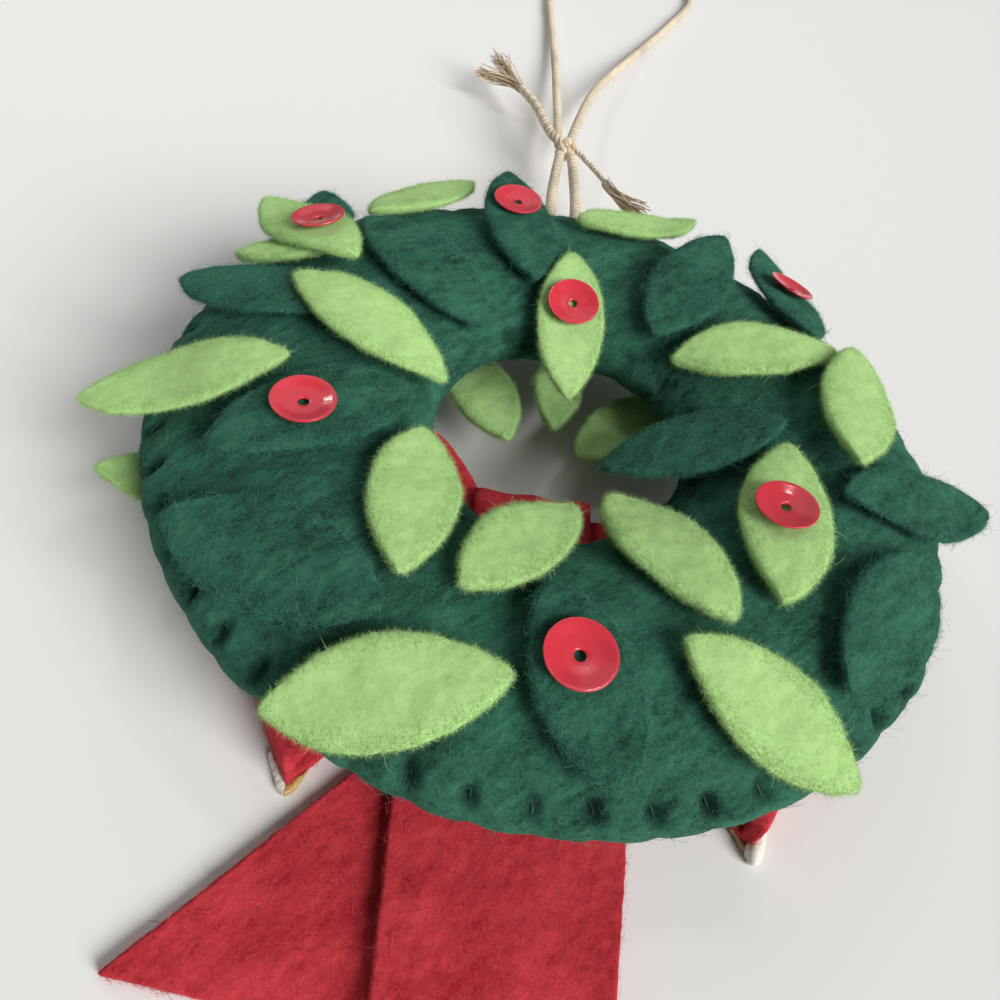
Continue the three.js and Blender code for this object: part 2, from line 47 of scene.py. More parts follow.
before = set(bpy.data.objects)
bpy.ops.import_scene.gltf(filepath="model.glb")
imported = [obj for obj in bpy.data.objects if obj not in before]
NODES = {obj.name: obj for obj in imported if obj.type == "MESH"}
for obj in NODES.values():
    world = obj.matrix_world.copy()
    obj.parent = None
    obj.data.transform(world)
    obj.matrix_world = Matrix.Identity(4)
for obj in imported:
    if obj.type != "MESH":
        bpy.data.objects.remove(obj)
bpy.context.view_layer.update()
MM = 0.001
TURN = 2 * math.pi
UP = Vector((0, 0, 1))

# Places from the frame: the ring's axis on the table, the plane of its seam and its radii
RING_LOW, RING_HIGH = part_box("back_ring")
AXIS = Vector(((RING_LOW.x + RING_HIGH.x) / 2, (RING_LOW.y + RING_HIGH.y) / 2, 0))
SEAM_Z = (RING_LOW.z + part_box("front_ring")[1].z) / 2
RING_OUTER = (RING_HIGH.x - RING_LOW.x) / 2
RING_INNER = min((v.co - AXIS).xy.length for v in NODES["back_ring"].data.vertices)
RING_MIDDLE = (RING_OUTER + RING_INNER) / 2
RING_HALF_WIDTH = (RING_OUTER - RING_INNER) / 2
RING_CROWN = RING_HIGH.z - SEAM_Z


def place(x, y, z):
    """Point given in millimetres from the ring's axis, in the frame's metres."""
    return AXIS + Vector((x, y, z)) * MM


def linear(code):
    """Linear colour of a hexadecimal display colour."""
    channels = [(code >> shift & 255) / 255 for shift in (16, 8, 0)]
    return tuple(c / 12.92 if c <= 0.04045 else ((c + 0.055) / 1.055) ** 2.4 for c in channels)


# Camera, in millimetres from the ring's axis
CAMERA_PLACE = (-14.55, -61.33, 73.64)
CAMERA_FORWARD = Vector((0.1045, 0.6395, -0.7617))
CAMERA_UP = Vector((-0.1403, 0.7677, 0.6253))
CAMERA_LENS = 28.75

# Hanging cord's route, in millimetres from the ring's axis
LEFT_LEG = ((-1.2, 42.2, 12.8), (-0.6, 51, 10.8), (0.3, 61, 8.9), (1.5, 71.6, 7.9))
RIGHT_LEG = ((2.4, 42.2, 12.8), (3.2, 51, 10.8), (3.7, 61, 8.9), (3.65, 71.5, 7.9))
CORD_LOOP = (
    (1.55, 79.45, 7.1), (2, 100, 4.5), (2.2, 125, 2.1), (1.6, 150, 1.1), (1.3, 168, 1),
    (4, 186, 1), (12, 199, 1), (24, 204, 1), (36, 200, 1), (40.7, 188, 1),
    (33, 166, 1), (23, 143, 1.5), (13, 118, 3.5), (8.4, 103, 5), (3.7, 79.45, 7.1),
)
LEFT_THROUGH = (2.0, 75.5, 7.0)
RIGHT_THROUGH = (3.3, 75.5, 7.6)
CORD_KNOT = (2.6, 75.5, 7.6)
LONG_END = ((2.4, 74.6, 8.6), (0, 78, 8.6), (-2.9, 90, 7.8), (-5.8, 100, 6.2))
LONG_FRAY = ((-13.6, 105.8, 5.2), (-11.2, 113.5, 5.8))
SHORT_END = ((3.4, 75, 8.6), (5.2, 73.2, 8.2), (8.4, 64, 9.4), (9, 60.5, 10))
SHORT_FRAY = ((13.4, 50.5, 11.7),)

# Ring: the way its felt is brushed, the side where its hole is drawn back, its stitches' height and slant,
# and how far the stuffing pushes its edge out
RING_NAP = Vector((0.9, 0.35, 0.25)).normalized()
HOLE_NOTCH = Vector((-0.34, -0.94, 0))
PIT_RISE = 1.9 * MM
STITCH_SLANT = 0.12
EDGE_FILL = 1.2 * MM

# Leaves and sequins of the frame
DARK_LEAVES = sorted(name for name in NODES if name.startswith("dark_leaf"))
PALE_LEAVES = sorted(name for name in NODES if name.startswith(("light_leaf", "front_leaf")))
SEQUINS = sorted(name for name in NODES if name.startswith("sequin"))


class FeltSettings(bpy.types.PropertyGroup):
    """Colours of the felts and the length of their pile."""

    dark: FloatVectorProperty(
        name="Dark green", description="Felt of the ring and dark leaves", subtype="COLOR",
        default=linear(0x1D4532))
    dark_fibre: FloatVectorProperty(
        name="Dark green fibres", description="Loose fibres on the dark felt", subtype="COLOR",
        default=linear(0x427F68))
    pale: FloatVectorProperty(
        name="Pale green", description="Felt of the pale leaves", subtype="COLOR", default=linear(0x9FC67B))
    pale_fibre: FloatVectorProperty(
        name="Pale green fibres", description="Loose fibres on the pale felt", subtype="COLOR",
        default=linear(0xB2D68E))
    red: FloatVectorProperty(
        name="Red", description="Felt of the bow", subtype="COLOR", default=linear(0xCB2C36))
    red_fibre: FloatVectorProperty(
        name="Red fibres", description="Loose fibres on the red felt", subtype="COLOR",
        default=linear(0xCC4A52))
    fibre_length: FloatProperty(
        name="Fibre length", description="Length of a loose curly fibre", default=1.7 * MM, unit="LENGTH")
    fibre_radius: FloatProperty(
        name="Fibre radius", description="Half the thickness of a loose curly fibre", default=0.017 * MM,
        unit="LENGTH", precision=5)
    fuzz_length: FloatProperty(
        name="Fuzz length", description="Length of the short fuzz", default=0.6 * MM, unit="LENGTH")
    fuzz_radius: FloatProperty(
        name="Fuzz radius", description="Half the thickness of the short fuzz", default=0.012 * MM,
        unit="LENGTH", precision=5)


class RingSettings(bpy.types.PropertyGroup):
    """Stuffing and seam of the ring."""

    outer_stitches: IntProperty(
        name="Outer stitches", description="Stitches round the outer edge", default=54)
    inner_stitches: IntProperty(name="Inner stitches", description="Stitches round the hole", default=18)
    pressure: FloatProperty(name="Stuffing", description="Pressure that swells the felt", default=5.0)
    pit_depth: FloatProperty(
        name="Stitch pit", description="How deep a stitch draws the felt in", default=1.7 * MM, unit="LENGTH")
    thread: FloatVectorProperty(
        name="Thread", description="Colour of the seam's thread", subtype="COLOR", default=linear(0x183D2D))
    fibres: IntProperty(name="Ring fibres", description="Loose curly fibres on the ring", default=8000)
    fuzz: IntProperty(name="Ring fuzz", description="Short fuzz on the ring", default=16000)


class BowSettings(bpy.types.PropertyGroup):
    """Trim of the bow and colour of the sequins."""

    white: FloatVectorProperty(
        name="White trim", description="Piping at the fold", subtype="COLOR", default=linear(0xDDD7CB))
    gold: FloatVectorProperty(
        name="Gold trim", description="Piping at the edge", subtype="COLOR", default=linear(0xB08C50))
    sequin: FloatVectorProperty(
        name="Sequins", description="Plastic of the cup sequins", subtype="COLOR", default=linear(0xC82E3C))


class CordSettings(bpy.types.PropertyGroup):
    """Sizes and colours of the hanging cord."""

    diameter: FloatProperty(
        name="Diameter", description="Thickness of the twisted cord", default=1.75 * MM, unit="LENGTH")
    pitch: FloatProperty(
        name="Twist pitch", description="Length of one full turn of the strands", default=3.3 * MM,
        unit="LENGTH")
    strands: IntProperty(name="Strands", description="Strands twisted into the cord", default=6, min=2)
    cream: FloatVectorProperty(
        name="Cream", description="Pale side of the cord", subtype="COLOR", default=linear(0xD6CAB4))
    tan: FloatVectorProperty(
        name="Tan", description="Deep side of the cord", subtype="COLOR", default=linear(0xC6AC86))
    frayed: IntProperty(name="Frayed fibres", description="Loose fibres at each cut end", default=60)


class StageSettings(bpy.types.PropertyGroup):
    """Floor and light of the stage."""

    floor: FloatVectorProperty(
        name="Floor", description="Colour of the plain floor", subtype="COLOR", default=(0.74, 0.73, 0.71))
    key_strength: FloatProperty(
        name="Key light", description="Strength of the soft light from the right", default=4.15)
    fill_power: FloatProperty(
        name="Fill light", description="Power of the lamp opposite", default=1.2, unit="POWER")
    glint_power: FloatProperty(
        name="Glint", description="Power of the small lamps that glint in the sequins", default=0.08,
        unit="POWER")
    sky: FloatProperty(name="Sky", description="Strength of the even light from all round", default=0.2)


def linked(name, data):
    """Object at the origin, linked to the scene."""
    obj = bpy.data.objects.new(name, data)
    bpy.context.scene.collection.objects.link(obj)
    return obj


def applied(obj):
    """Bmesh of an object as its modifiers leave it. The object is removed."""
    bm = bmesh.new()
    bm.from_object(obj, bpy.context.evaluated_depsgraph_get())
    mesh = obj.data
    bpy.data.objects.remove(obj)
    bpy.data.meshes.remove(mesh)
    return bm


def new_object(name, mesh, *materials):
    """Smooth object with its materials."""
    obj = linked(name, mesh)
    for material in materials:
        mesh.materials.append(material)
    mesh.polygons.foreach_set("use_smooth", [True] * len(mesh.polygons))
    return obj


def mesh_of(bm, name):
    """Mesh made from a bmesh, which is freed."""
    mesh = bpy.data.meshes.new(name)
    bm.to_mesh(mesh)
    bm.free()
    return mesh


def dressed(obj, body, slot, *nodes):
    """Piece that moves with a body and stands for CAD nodes."""
    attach(obj, body)
    if nodes:
        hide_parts(*nodes)
    return obj


def add_piece(name, bm, materials, body, slot, *nodes):
    """Dressed piece made from a bmesh, which is freed."""
    return dressed(new_object(name, mesh_of(bm, name), *materials), body, slot, *nodes)


def around(co):
    """Way out from the ring's axis to a point, its distance from the axis and its share of a turn."""
    at = co - AXIS
    return Vector((at.x, at.y, 0)).normalized(), at.xy.length, math.atan2(at.y, at.x) / TURN


def solid_copy(node):
    """Merged copy of a CAD node's mesh, in quads where its triangles pair up."""
    bm = bmesh.new()
    bm.from_mesh(NODES[node].data)
    bmesh.ops.remove_doubles(bm, verts=bm.verts, dist=0.005 * MM)
    bmesh.ops.join_triangles(
        bm, faces=bm.faces, angle_face_threshold=math.radians(30), angle_shape_threshold=math.radians(70))
    return bm


def creased(bm, sharpness, angle=50, tip=0.7):
    """Marks the cut edges of a felt piece, so that rounding keeps them and fuzz finds them."""
    crease = bm.edges.layers.float.new("crease_edge")
    rim = bm.verts.layers.float.new("rim")
    cut = {edge for edge in bm.edges if edge.calc_face_angle(0) > math.radians(angle)}
    tips = {vert for vert in bm.verts if len(cut.intersection(vert.link_edges)) > 2}
    for edge in cut:
        at_tip = tips.issuperset(edge.verts)
        edge[crease] = max(sharpness, tip) if at_tip else sharpness
        for vert in edge.verts:
            vert[rim] = 1


def rounded(bm, levels):
    """Subdivided copy of a bmesh, which is freed."""
    holder = linked("rounding", mesh_of(bm, "rounding"))
    smoother = holder.modifiers.new("rounding", "SUBSURF")
    smoother.levels = smoother.render_levels = levels
    return applied(holder)


def roughened(bm, waves):
    """Moves each point along its normal by noise, given as (size, height) pairs."""
    bm.normal_update()
    for vert in bm.verts:
        vert.co += vert.normal * sum(noise.noise(vert.co / size) * height for size, height in waves)


def rested(bm, height=0.02 * MM):
    """Keeps a soft piece above the table."""
    for vert in bm.verts:
        vert.co.z = max(vert.co.z, height)


TRIANGLE = [TURN * corner / 3 for corner in range(3)]


def add_fibre(bm, root, normal, heading, length, radius, curl, lift, joints):
    """One fibre: a tapering strand of triangles that leaves the surface and bends down along it."""
    rings = []
    at = root
    for joint in range(joints):
        across = heading.cross(normal)
        reach = radius * (1 - 0.5 * joint / joints)
        corners = [across * math.cos(angle) + normal * math.sin(angle) for angle in TRIANGLE]
        rings.append([bm.verts.new(at + corner * reach) for corner in corners])
        at = at + (heading + normal * lift).normalized() * (length / joints)
        heading = Quaternion(normal, curl) @ heading
        lift *= 0.25
    tip = bm.verts.new(at)
    bm.faces.new(reversed(rings[0]))
    for low, high in zip(rings, rings[1:]):
        for corner in range(3):
            following = (corner + 1) % 3
            bm.faces.new((low[corner], low[following], high[following], high[corner]))
    for corner in range(3):
        bm.faces.new((rings[-1][corner], rings[-1][(corner + 1) % 3], tip))


def fibre_roots(surface, count, edge_share, draw):
    """Random places and normals on a surface, a share of them along its cut edges."""
    faces = list(surface.faces)
    areas = [face.calc_area() for face in faces]
    picked = draw.choices(faces, areas, k=round(count * (1 - edge_share)))
    if edge_share:
        rim = surface.verts.layers.float["rim"]
        near = [area * min(vert[rim] for vert in face.verts) ** 2 for face, area in zip(faces, areas)]
        picked += draw.choices(faces, near, k=round(count * edge_share))
    for face in picked:
        shares = [draw.random() for _ in face.verts]
        yield sum((v.co * s for v, s in zip(face.verts, shares)), Vector()) / sum(shares), face.normal


def pile_on(surface, felt, seed, loose, fuzz, edge_share=0.0, nap=None):
    """Bmesh of long curly fibres and short fuzz over a surface, brushed along the nap."""
    draw = random.Random(seed)
    pile = bmesh.new()
    surface.normal_update()
    for count, joints, length, radius, rise, curling in (
            (loose, 3, felt.fibre_length, felt.fibre_radius, 0.35, 0.9),
            (fuzz, 1, felt.fuzz_length, felt.fuzz_radius, 0.65, 0.0)):
        for at, normal in fibre_roots(surface, count, edge_share, draw):
            heading = normal.orthogonal().normalized()
            turn = draw.uniform(0, TURN)
            if nap and abs(nap.dot(normal)) < 0.9:
                heading = (nap - normal * nap.dot(normal)).normalized()
                turn = draw.gauss(0, 0.7)
            heading = Quaternion(normal, turn) @ heading
            add_fibre(pile, at - normal * radius, normal, heading, length * draw.uniform(0.5, 1.4), radius,
                      curling * draw.uniform(-1, 1), rise * draw.uniform(0.1, 1.6), joints)
    return pile


def gridded(bm, spacing):
    """Cuts a solid's faces into a grid of about the given spacing."""
    bmesh.ops.dissolve_limit(bm, angle_limit=math.radians(1), verts=bm.verts, edges=bm.edges)
    for axis in range(3):
        reach = [vert.co[axis] for vert in bm.verts]
        low, high = min(reach), max(reach)
        cuts = max(1, round((high - low) / spacing))
        for cut in range(1, cuts):
            at, normal = Vector(), Vector()
            at[axis] = low + (high - low) * cut / cuts
            normal[axis] = 1
            bmesh.ops.bisect_plane(bm, geom=bm.verts[:] + bm.edges[:] + bm.faces[:], dist=0.002 * MM,
                                   plane_co=at, plane_no=normal)


def joined(body, pile):
    """Felt body with its fibres, which take the second material."""
    mesh = mesh_of(pile, "pile")
    before = len(body.faces)
    body.from_mesh(mesh)
    bpy.data.meshes.remove(mesh)
    for index, face in enumerate(body.faces):
        face.material_index = 0 if index < before else 1
    return body


# Materials


def set_sockets(tree, node, sockets):
    """Sets a node's sockets to values, or links them to the outputs given."""
    for name, value in sockets.items():
        if isinstance(value, bpy.types.NodeSocket):
            tree.links.new(value, node.inputs[name])
        else:
            node.inputs[name].default_value = value


def add_node(tree, kind, sockets=None, **settings):
    """New shader node with its settings and its sockets set or linked."""
    node = tree.nodes.new("ShaderNode" + kind)
    for name, value in settings.items():
        setattr(node, name, value)
    set_sockets(tree, node, sockets or {})
    return node


def reckoned(tree, operation, *values):
    """Result of a sum on values or outputs."""
    return add_node(tree, "Math", dict(enumerate(values)), operation=operation).outputs[0]


def object_noise(tree, scale, detail):
    """Noise laid over a piece by its own coordinates."""
    coords = add_node(tree, "TexCoord").outputs["Object"]
    return add_node(tree, "TexNoise", {"Vector": coords, "Scale": scale, "Detail": detail}).outputs["Fac"]


def dented(tree, height, strength, depth):
    """Normal of a surface with a fine relief."""
    bump = add_node(tree, "Bump", {"Height": height, "Strength": strength, "Distance": depth})
    return bump.outputs["Normal"]


def new_material(name):
    """Empty node material and its shader."""
    material = bpy.data.materials.new(name)
    material.use_nodes = True
    return material, material.node_tree, material.node_tree.nodes["Principled BSDF"]


def mixed(tree, factor, first, second):
    """Colour between two colours."""
    node = add_node(tree, "Mix", {0: factor, 6: first, 7: second}, data_type="RGBA")
    return node.outputs[2]


def opaque(colour):
    return (*colour, 1)


def shaded(colour, share):
    """Darker or paler tone of a colour."""
    return opaque([min(1, channel * share) for channel in colour])


def felt_pile_group():
    """Matted wool: soft patches, a fine fleece and curly fibres, as a colour and a height."""
    group = bpy.data.node_groups.get("felt_pile")
    if group:
        return group
    group = bpy.data.node_groups.new("felt_pile", "ShaderNodeTree")
    for way, sockets in (
            ("INPUT", {"Vector": "Vector", "Wool": "Color", "Deep": "Color", "Fibre": "Color",
                       "Fibre Share": "Float", "Grain": "Vector"}),
            ("OUTPUT", {"Color": "Color", "Height": "Float"})):
        for name, kind in sockets.items():
            group.interface.new_socket(name, in_out=way, socket_type="NodeSocket" + kind)
    given = group.nodes.new("NodeGroupInput").outputs
    brushed = add_node(
        group, "Mapping", {"Vector": given["Vector"], "Rotation": (0, 0, 0.72), "Scale": given["Grain"]},
        vector_type="TEXTURE").outputs[0]
    patches = add_node(group, "TexNoise", {"Vector": brushed, "Scale": 300, "Detail": 3, "Roughness": 0.6})
    streaks = add_node(group, "TexNoise", {"Vector": brushed, "Scale": 1300, "Detail": 3, "Roughness": 0.6})
    fleece = add_node(group, "TexNoise", {
        "Vector": given["Vector"], "Scale": 3600, "Detail": 3, "Roughness": 0.7}).outputs["Fac"]
    tone = reckoned(group, "MULTIPLY_ADD", streaks.outputs["Fac"], 0.8, patches.outputs["Fac"])
    tone = reckoned(group, "MULTIPLY_ADD", fleece, 0.5, tone)
    spread = add_node(group, "MapRange", {"Value": tone, "From Min": 0.85, "From Max": 1.45})
    lines = 0.0
    for scale, width in ((800, 0.02), (1400, 0.028)):
        waves = add_node(group, "TexNoise", {
            "Vector": given["Vector"], "Scale": scale, "Detail": 1.5, "Distortion": 1.2})
        size = reckoned(group, "ABSOLUTE", reckoned(group, "SUBTRACT", waves.outputs["Fac"], 0.5))
        line = add_node(group, "MapRange", {"Value": size, "From Max": width, "To Min": 1, "To Max": 0})
        lines = reckoned(group, "MAXIMUM", lines, line.outputs[0])
    share = reckoned(group, "MULTIPLY", reckoned(group, "MULTIPLY", lines, fleece), given["Fibre Share"])
    wool = mixed(group, spread.outputs[0], given["Deep"], given["Wool"])
    colour = mixed(group, share, wool, given["Fibre"])
    height = reckoned(group, "ADD", share, fleece)
    set_sockets(group, group.nodes.new("NodeGroupOutput"), {"Color": colour, "Height": height})
    return group


def felt_material(name, wool, fibre, share, bloom, deep, grain):
    """Fuzzy wool felt, with painted shade in the ring's stitch pits."""
    material, tree, shader = new_material(name)
    pile = add_node(tree, "Group", {
        "Vector": add_node(tree, "TexCoord").outputs["Object"],
        "Wool": opaque(Vector(wool).lerp(Vector(fibre), bloom)),
        "Deep": shaded(wool, deep),
        "Fibre": opaque(fibre),
        "Fibre Share": share,
        "Grain": (grain, 1, 1),
    }, node_tree=felt_pile_group())
    # Painted shade: at the ring's stitch pits the felt's colour is darkened towards a deep tone of its wool,
    # standing in for the shade in the pits.
    pit_with_painted_shade = add_node(tree, "Attribute", attribute_name="pit_with_painted_shade")
    set_sockets(tree, shader, {
        # Base colour carries the painted shade of the stitch pits.
        "Base Color": mixed(tree, pit_with_painted_shade.outputs["Fac"], pile.outputs["Color"], shaded(wool, 0.15)),
        "Normal": dented(tree, pile.outputs["Height"], 0.4, 0.08 * MM),
        "Roughness": 0.95,
        "Specular IOR Level": 0.15,
        "Sheen Weight": 0.4,
        "Sheen Roughness": 0.5,
        "Sheen Tint": opaque(fibre),
    })
    return material


def fibre_material(name, fibre, contrast):
    """Loose fibres, some paler than others."""
    material, tree, shader = new_material(name)
    tones = object_noise(tree, 700, 1)
    set_sockets(tree, shader, {
        "Base Color": mixed(tree, tones, shaded(fibre, 1 - contrast), shaded(fibre, 1 + contrast)),
        "Roughness": 0.8,
        "Specular IOR Level": 0.2,
    })
    return material


def felt_pair(name, wool, fibre, contrast, **tones):
    """Materials of a felt and of its loose fibres."""
    found = bpy.data.materials.get(name)
    if found:
        return found, bpy.data.materials[name + "_fibre"]
    return felt_material(name, wool, fibre, **tones), fibre_material(name + "_fibre", fibre, contrast)


def dark_felt(felt):
    return felt_pair("dark_wool", felt.dark, felt.dark_fibre, contrast=0.35,
                     share=0.5, bloom=0.52, deep=0.34, grain=2.4)


def pale_felt(felt):
    return felt_pair("pale_wool", felt.pale, felt.pale_fibre, contrast=0.1,
                     share=0.15, bloom=0.5, deep=0.84, grain=1.4)


def red_felt(felt):
    return felt_pair("red_wool", felt.red, felt.red_fibre, contrast=0.2,
                     share=0.3, bloom=0.6, deep=0.52, grain=1.7)


def sequin_material(colour):
    """Glossy tinted plastic."""
    material, tree, shader = new_material("sequin_plastic")
    tones = object_noise(tree, 500, 2)
    scuffs = object_noise(tree, 2600, 3)
    gloss = add_node(tree, "MapRange", {"Value": scuffs, "To Min": 0.16, "To Max": 0.3})
    set_sockets(tree, shader, {
        "Base Color": mixed(tree, tones, shaded(colour, 0.82), shaded(colour, 1.12)),
        "Roughness": gloss.outputs[0],
        "Specular IOR Level": 0.5,
        "Coat Weight": 0.3,
        "Coat Roughness": 0.06,
    })
    return material


def thread_material(name, colour, roughness=0.7):
    """Spun thread or piping with a fine lay."""
    material, tree, shader = new_material(name)
    lay = object_noise(tree, 3200, 3)
    set_sockets(tree, shader, {
        "Base Color": mixed(tree, lay, shaded(colour, 0.6), shaded(colour, 1.3)),
        "Normal": dented(tree, lay, 0.7, 0.06 * MM),
        "Roughness": roughness,
    })
    return material


def yarn_material(name, colour):
    """Satin yarn with patches of wear along it."""
    material, tree, shader = new_material(name)
    patches = object_noise(tree, 110, 3)
    fibres = object_noise(tree, 5200, 2)
    tone = reckoned(tree, "MULTIPLY_ADD", fibres, 0.5, patches)
    spread = add_node(tree, "MapRange", {"Value": tone, "From Min": 0.55, "From Max": 0.95})
    set_sockets(tree, shader, {
        "Base Color": mixed(tree, spread.outputs[0], shaded(colour, 0.72), shaded(colour, 1.12)),
        "Normal": dented(tree, fibres, 0.5, 0.05 * MM),
        "Roughness": 0.5,
        "Sheen Weight": 0.2,
    })
    return material


# Cord


def smooth_line(points, spacing):
    """Evenly spaced points on a smooth curve through the given ones."""
    fine = []
    for index in range(len(points) - 1):
        before = points[max(0, index - 1)]
        start, end = points[index], points[index + 1]
        after = points[min(len(points) - 1, index + 2)]
        reach = (end - start).length / 3
        leaving = (end - before).normalized() * reach
        arriving = (after - start).normalized() * reach
        fine += interpolate_bezier(start, start + leaving, end - arriving, end, 24)[:-1]
    fine.append(points[-1])
    even = [fine[0]]
    left = spacing
    for start, end in zip(fine, fine[1:]):
        step = (end - start).length
        while left <= step and step > 0:
            even.append(start.lerp(end, left / step))
            left += spacing
        left -= step
    return even


def line_length(line):
    return sum((end - start).length for start, end in zip(line, line[1:]))


def carried_frames(line):
    """Side and upper direction at each point of a line, turned as little as possible along it."""
    tangents = [(b - a).normalized() for a, b in zip(line, line[1:])]
    tangents.append(tangents[-1])
    side = tangents[0].cross(UP).normalized()
    frames = []
    for tangent in tangents:
        side = (side - tangent * side.dot(tangent)).normalized()
        frames.append((side, tangent.cross(side)))
    return frames


def strand_mesh(name, lines, radius, sides=1):
    """Mesh of round strands along several lines."""
    curve = bpy.data.curves.new(name, "CURVE")
    curve.dimensions = "3D"
    curve.bevel_depth = radius
    curve.bevel_resolution = sides
    curve.use_fill_caps = True
    for line in lines:
        spline = curve.splines.new("POLY")
        spline.points.add(len(line) - 1)
        for point, at in zip(spline.points, line):
            point.co = (*at, 1)
    holder = bpy.data.objects.new(name, curve)
    mesh = bpy.data.meshes.new_from_object(holder)
    mesh.materials.clear()
    bpy.data.objects.remove(holder)
    bpy.data.curves.remove(curve)
    return mesh


def twisted(line, diameter, strands, cord):
    """Lines of the strands that are twisted about a centreline, and their radius."""
    half_gap = math.sin(math.pi / strands)
    strand_radius = 0.55 * diameter * half_gap / (1 + half_gap)
    offset = diameter / 2 - strand_radius
    lines = [[] for _ in range(strands)]
    travelled = 0.0
    for index, (at, (side, over)) in enumerate(zip(line, carried_frames(line))):
        travelled += (at - line[index - 1]).length if index else 0.0
        for strand, points in enumerate(lines):
            angle = TURN * (travelled / cord.pitch + strand / strands)
            points.append(at + (side * math.cos(angle) + over * math.sin(angle)) * offset)
    return lines, strand_radius


def strayed(draw, spread):
    """Random offset in any direction."""
    return Vector(draw.gauss(0, spread) for _ in range(3))


def frayed(line, tip, cord, seed):
    """Lines of the loose fibres that a cord's cut end opens into, in a clump towards a tip."""
    draw = random.Random(seed)
    root = line[-1]
    ahead = (line[-1] - line[-6]).normalized()
    reach = (tip - root).length
    fibres = []
    for _ in range(cord.frayed):
        start = root + strayed(draw, 0.2 * cord.diameter)
        end = start.lerp(tip, draw.uniform(0.75, 1.06)) + strayed(draw, 0.06 * reach)
        leaving = start + ahead * reach * draw.uniform(0.2, 0.45)
        arriving = start.lerp(end, 0.7) + strayed(draw, 0.05 * reach)
        fibres.append(interpolate_bezier(start - ahead * cord.diameter, leaving, arriving, end, 9))
    return fibres


# Operators


class WREATH_OT_stage(bpy.types.Operator):
    """Camera, soft light and a plain floor"""

    bl_idname = "wreath.stage"
    bl_label = "Stage"

    sensor_width = 36
    floor_half_width = 4
    backdrop = 0.8
    key_place = (600, -560, 560)
    key_spread = math.radians(35)
    fill_place = (-150, 800, 900)
    overhead_place = (80, 120, 400)
    window_place = (-250, 270, 290)

    def execute(self, context):
        stage = context.scene.wreath_stage
        context.scene.view_settings.view_transform = "Standard"
        self.add_camera(context)
        self.add_floor(stage)
        self.add_world(context, stage)
        self.add_sun(stage)
        self.add_lamp("fill_lamp", self.fill_place, 1.0, stage.fill_power)
        self.add_lamp("overhead_glint", self.overhead_place, 0.03, stage.glint_power)
        self.add_lamp("window_glint", self.window_place, 0.05, stage.glint_power * 2)
        return {"FINISHED"}

    def add_camera(self, context):
        lens = bpy.data.cameras.new("camera")
        lens.lens = CAMERA_LENS
        lens.sensor_width = self.sensor_width
        lens.clip_start = 5 * MM
        camera = linked("camera", lens)
        across = CAMERA_FORWARD.cross(CAMERA_UP)
        turn = Matrix((across, CAMERA_UP, -CAMERA_FORWARD)).transposed()
        camera.matrix_world = Matrix.Translation(place(*CAMERA_PLACE)) @ turn.to_4x4()
        context.scene.camera = camera

    def add_floor(self, stage):
        bm = bmesh.new()
        bmesh.ops.create_grid(bm, x_segments=1, y_segments=1, size=self.floor_half_width)
        material, tree, shader = new_material("floor_paper")
        set_sockets(tree, shader, {"Base Color": opaque(stage.floor), "Roughness": 0.9})
        new_object("floor", mesh_of(bm, "floor"), material)

    def add_world(self, context, stage):
        world = bpy.data.worlds.new("soft_sky")
        world.use_nodes = True
        tree = world.node_tree
        seen = add_node(tree, "LightPath").outputs["Is Camera Ray"]
        strength = add_node(tree, "MapRange", {"Value": seen, "To Min": stage.sky, "To Max": self.backdrop})
        set_sockets(tree, tree.nodes["Background"], {"Color": (1, 1, 1, 1), "Strength": strength.outputs[0]})
        context.scene.world = world

    def add_sun(self, stage):
        lamp = bpy.data.lights.new("key_light", "SUN")
        lamp.energy = stage.key_strength
        lamp.angle = self.key_spread
        self.aim(lamp, self.key_place)

    def add_lamp(self, name, at, size, power):
        lamp = bpy.data.lights.new(name, "AREA")
        lamp.shape = "DISK"
        lamp.energy = power
        lamp.size = size
        self.aim(lamp, at)

    def aim(self, lamp, at):
        """Puts a lamp in its place and turns it to the ring."""
        obj = linked(lamp.name, lamp)
        obj.location = place(*at)
        obj.rotation_mode = "QUATERNION"
        obj.rotation_quaternion = (AXIS - place(*at)).to_track_quat("-Z", "Y")


